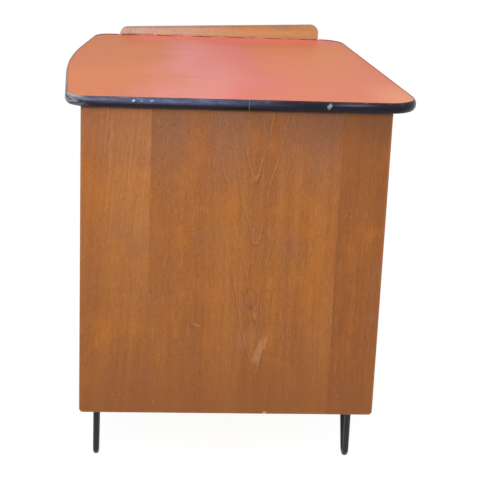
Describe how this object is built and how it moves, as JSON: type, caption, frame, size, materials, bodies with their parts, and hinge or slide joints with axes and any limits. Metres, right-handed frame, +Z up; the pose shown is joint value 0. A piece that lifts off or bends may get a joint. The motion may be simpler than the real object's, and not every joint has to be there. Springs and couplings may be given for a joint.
{
  "type": "davenport desk",
  "caption": "Compact davenport desk: plain veneered slab front, laminate lifting lid with dark edging, low gallery, side drawers and bent rod legs.",
  "frame": {"origin": "on the floor, in the middle of the overall width and depth", "axes": "+X to the sitter's right, where the drawers open; +Y to the back, where the gallery stands; +Z up"},
  "size_m": [0.6522, 0.654, 0.8021],
  "materials": {
    "front_veneer": "satin oiled veneer",
    "case_veneer": "satin oiled veneer",
    "gallery_wood": "satin lacquered solid wood",
    "red_laminate": "satin decorative laminate",
    "black_edging": "worn gloss edging",
    "backing_sheet": "matt backing sheet",
    "core_board": "raw blockboard",
    "inner_wood": "plain sanded wood",
    "runner_beech": "waxed hardwood",
    "hinge_brass": "plain brass",
    "black_lacquer": "black lacquer",
    "black_steel": "satin black paint"
  },
  "bodies": {
    "case": {"back_panel": "case_veneer", "bottom_board": "inner_wood", "drawer_rail_lower": "case_veneer", "drawer_rail_upper": "case_veneer", "front_panel": "front_veneer", "gallery_board": "gallery_wood", "hinge_leaf_gallery": "hinge_brass", "hinge_pin": "hinge_brass", "left_side_panel": "case_veneer", "leg_front_left": "black_steel", "leg_front_right": "black_steel", "leg_plate_front_left": "black_steel", "leg_plate_front_right": "black_steel", "leg_plate_rear_left": "black_steel", "leg_plate_rear_right": "black_steel", "leg_rear_left": "black_steel", "leg_rear_right": "black_steel", "runner_lower_front": "runner_beech", "runner_lower_rear": "runner_beech", "runner_upper_front": "runner_beech", "runner_upper_rear": "runner_beech", "well_floor": "inner_wood", "well_right_wall": "case_veneer"},
    "lid": {"hinge_leaf_lid": "hinge_brass", "lid_backing": "backing_sheet", "lid_core": "core_board", "lid_edging_left": "black_edging", "lid_edging_right": "black_edging", "lid_laminate": "red_laminate"},
    "drawer_bottom": {"drawer_bottom_back": "inner_wood", "drawer_bottom_bottom": "inner_wood", "drawer_bottom_front": "case_veneer", "drawer_bottom_knob": "black_lacquer", "drawer_bottom_side_far": "inner_wood", "drawer_bottom_side_near": "inner_wood"},
    "drawer_middle": {"drawer_middle_back": "inner_wood", "drawer_middle_bottom": "inner_wood", "drawer_middle_front": "case_veneer", "drawer_middle_knob": "black_lacquer", "drawer_middle_side_far": "inner_wood", "drawer_middle_side_near": "inner_wood"},
    "drawer_top": {"drawer_top_back": "inner_wood", "drawer_top_bottom": "inner_wood", "drawer_top_front": "case_veneer", "drawer_top_knob": "black_lacquer", "drawer_top_side_far": "inner_wood", "drawer_top_side_near": "inner_wood"}
  },
  "joints": [
    {"name": "lid_hinge", "type": "hinge", "parent": "case", "child": "lid", "pos_m": [-0.0033, 0.3132, 0.7718], "axis": [-1, 0, 0], "range_deg": [0, 96]},
    {"name": "drawer_bottom_slide", "type": "slide", "parent": "case", "child": "drawer_bottom", "axis": [1, 0, 0], "range_m": [0, 0.34]},
    {"name": "drawer_middle_slide", "type": "slide", "parent": "case", "child": "drawer_middle", "axis": [1, 0, 0], "range_m": [0, 0.34]},
    {"name": "drawer_top_slide", "type": "slide", "parent": "case", "child": "drawer_top", "axis": [1, 0, 0], "range_m": [0, 0.34]}
  ]
}
